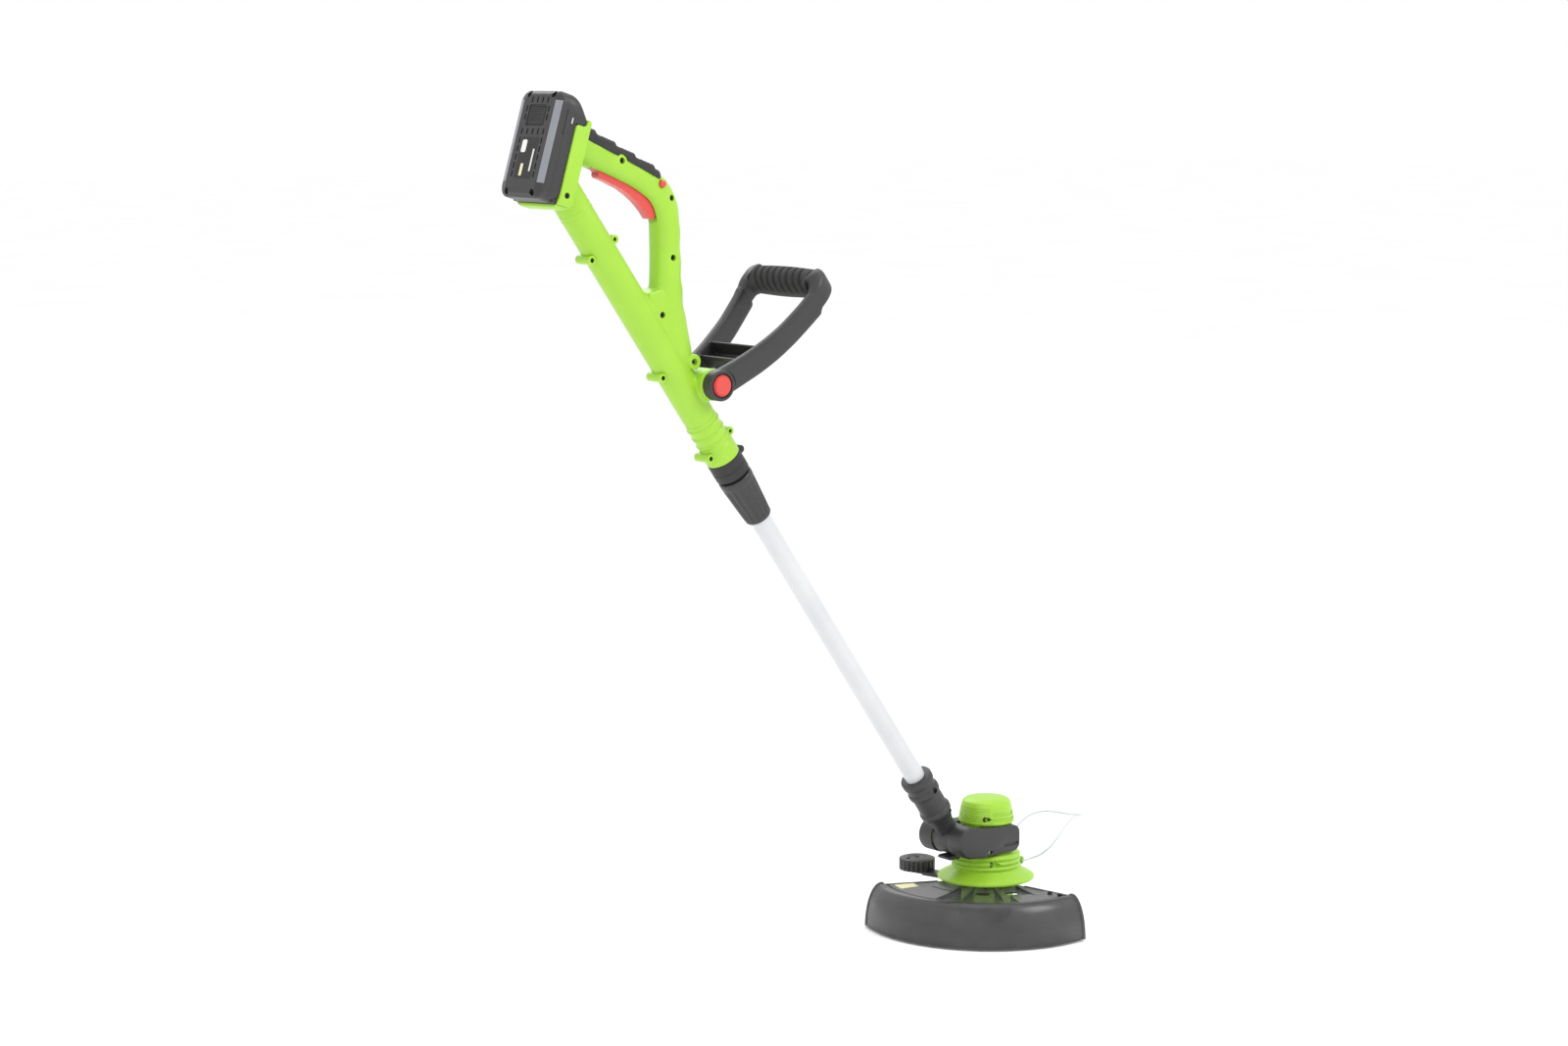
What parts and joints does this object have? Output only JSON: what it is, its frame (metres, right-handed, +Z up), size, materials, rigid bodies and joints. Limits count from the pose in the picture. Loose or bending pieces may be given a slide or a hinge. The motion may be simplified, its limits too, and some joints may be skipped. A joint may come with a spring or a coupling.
{
  "type": "string trimmer",
  "caption": "Battery string trimmer with a loop rear handle, hinged auxiliary handle, telescopic shaft, tilting motor head, bump-feed spool, sector guard, edging wheel and wire plant guard.",
  "frame": {"origin": "centre of the flat face of the spool's bump cap, on the spin axis, at floor level", "axes": "+X forward from the rear handle to the cutting head, +Y to the tool's left, +Z up along the spin axis"},
  "size_m": [0.8235, 0.2669, 0.9886],
  "materials": {
    "green_plastic": "satin moulded lime green",
    "charcoal_plastic": "fine matte grain, charcoal",
    "soft_rubber": "soft matte overmould",
    "red_plastic": "satin moulded red",
    "smoke_plastic": "glossy smoked plastic, slightly see-through",
    "tube_metal": "pale silver coating",
    "wire_metal": "pale grey coated spring wire",
    "steel": "plain bright steel",
    "copper": "enamelled copper winding",
    "cell_wrap": "shrink-wrapped cells",
    "line_nylon": "extruded nylon line"
  },
  "bodies": {
    "handle": {"housing_right": "green_plastic", "housing_left": "green_plastic", "grip_pad_right": "soft_rubber", "grip_pad_left": "soft_rubber", "terminal_block": "charcoal_plastic", "trigger_switch": "charcoal_plastic", "trigger_pin": "steel", "trigger_spring": "steel", "shaft_collar": "charcoal_plastic", "clamp_collet": "charcoal_plastic", "aux_spring": "steel", "housing_screw_1": "steel", "housing_screw_2": "steel", "housing_screw_3": "steel", "housing_screw_4": "steel", "housing_screw_5": "steel", "housing_screw_6": "steel"},
    "trigger": {"trigger": "red_plastic"},
    "lock_button": {"lock_button": "red_plastic"},
    "aux_handle": {"aux_frame": "charcoal_plastic", "aux_grip": "soft_rubber"},
    "aux_button_right": {"aux_button_right": "red_plastic"},
    "aux_button_left": {"aux_button_left": "red_plastic"},
    "twist_sleeve": {"twist_sleeve": "charcoal_plastic"},
    "shaft_slider": {"tube_bush": "charcoal_plastic"},
    "shaft": {"tube": "tube_metal", "neck_right": "charcoal_plastic", "neck_left": "charcoal_plastic", "neck_screw_1": "steel", "neck_screw_2": "steel"},
    "head": {"head_housing_right": "green_plastic", "head_housing_left": "green_plastic", "head_screw_1": "steel", "head_screw_2": "steel", "side_cover_right": "charcoal_plastic", "side_cover_left": "charcoal_plastic", "tilt_pin": "steel", "motor_can": "steel", "bearing_lower": "steel", "bearing_upper": "steel", "guard": "smoke_plastic", "cutter_blade": "steel", "wheel_bracket": "charcoal_plastic", "wheel_axle": "steel"},
    "tilt_release": {"tilt_release": "green_plastic"},
    "spool": {"motor_rotor": "copper", "spool_housing": "green_plastic", "line_spool": "charcoal_plastic", "spool_spring": "steel", "cutting_line": "line_nylon"},
    "spool_cap": {"spool_cap": "charcoal_plastic"},
    "edge_wheel": {"edge_wheel": "charcoal_plastic"},
    "plant_guard": {"plant_guard": "wire_metal"},
    "battery": {"battery_lid": "charcoal_plastic", "battery_base": "charcoal_plastic", "cell_pack": "cell_wrap"},
    "battery_release": {"battery_release": "charcoal_plastic"}
  },
  "joints": [
    {"name": "trigger_squeeze", "type": "hinge", "parent": "handle", "child": "trigger", "pos_m": [-0.56966, 0, 0.90848], "axis": [0, -1, 0], "range_deg": [0, 5.5], "stiffness_Nm_per_rad": 1.5, "springref_deg": -5.73, "deforming": ["trigger_spring"]},
    {"name": "lock_off_press", "type": "slide", "parent": "handle", "child": "lock_button", "axis": [0, 1, 0], "range_m": [-0.003, 0.003], "stiffness_N_per_m": 800},
    {"name": "aux_handle_swing", "type": "hinge", "parent": "handle", "child": "aux_handle", "pos_m": [-0.42883, 0, 0.6717], "axis": [0, 1, 0], "range_deg": [-30, 50]},
    {"name": "aux_release_right", "type": "slide", "parent": "aux_handle", "child": "aux_button_right", "axis": [0, 1, 0], "range_m": [0, 0.0042], "stiffness_N_per_m": 1000, "springref_m": -0.002},
    {"name": "aux_release_left", "type": "slide", "parent": "aux_handle", "child": "aux_button_left", "axis": [0, -1, 0], "range_m": [0, 0.0042], "stiffness_N_per_m": 1000, "springref_m": -0.002},
    {"name": "sleeve_twist", "type": "hinge", "parent": "handle", "child": "twist_sleeve", "pos_m": [-0.36277, 0, 0.53948], "axis": [-0.5807, 0, 0.8141], "range_deg": [0, 90]},
    {"name": "shaft_extend", "type": "slide", "parent": "handle", "child": "shaft_slider", "axis": [-0.5807, 0, 0.8141], "range_m": [0, 0.18]},
    {"name": "shaft_turn", "type": "hinge", "parent": "shaft_slider", "child": "shaft", "pos_m": [-0.49343, 0, 0.72266], "axis": [-0.5807, 0, 0.8141], "range_deg": [0, 180]},
    {"name": "head_tilt", "type": "hinge", "parent": "shaft", "child": "head", "pos_m": [-0.055, 0, 0.108], "axis": [0, 1, 0], "range_deg": [-40, 30]},
    {"name": "tilt_release_press", "type": "slide", "parent": "head", "child": "tilt_release", "axis": [1, 0, 0], "range_m": [0, 0.004], "stiffness_N_per_m": 500, "springref_m": -0.002},
    {"name": "spool_spin", "type": "hinge", "parent": "head", "child": "spool", "pos_m": [0, 0, 0.03], "axis": [0, 0, 1], "continuous": true},
    {"name": "bump_cap_press", "type": "slide", "parent": "spool", "child": "spool_cap", "axis": [0, 0, 1], "range_m": [0, 0.004], "stiffness_N_per_m": 1500, "springref_m": -0.002, "deforming": ["spool_spring"]},
    {"name": "edge_wheel_spin", "type": "hinge", "parent": "head", "child": "edge_wheel", "pos_m": [-0.025, 0.096, 0.05], "axis": [0, 0, 1], "continuous": true},
    {"name": "plant_guard_swing", "type": "hinge", "parent": "head", "child": "plant_guard", "pos_m": [0.044, 0, 0.068], "axis": [0, -1, 0], "range_deg": [-20, 60]},
    {"name": "battery_slide", "type": "slide", "parent": "handle", "child": "battery", "axis": [0.2907, 0, 0.9568], "range_m": [0, 0.1]},
    {"name": "battery_release_press", "type": "slide", "parent": "battery", "child": "battery_release", "axis": [0.9568, 0, -0.2907], "range_m": [0, 0.002], "stiffness_N_per_m": 1500, "springref_m": -0.001}
  ]
}
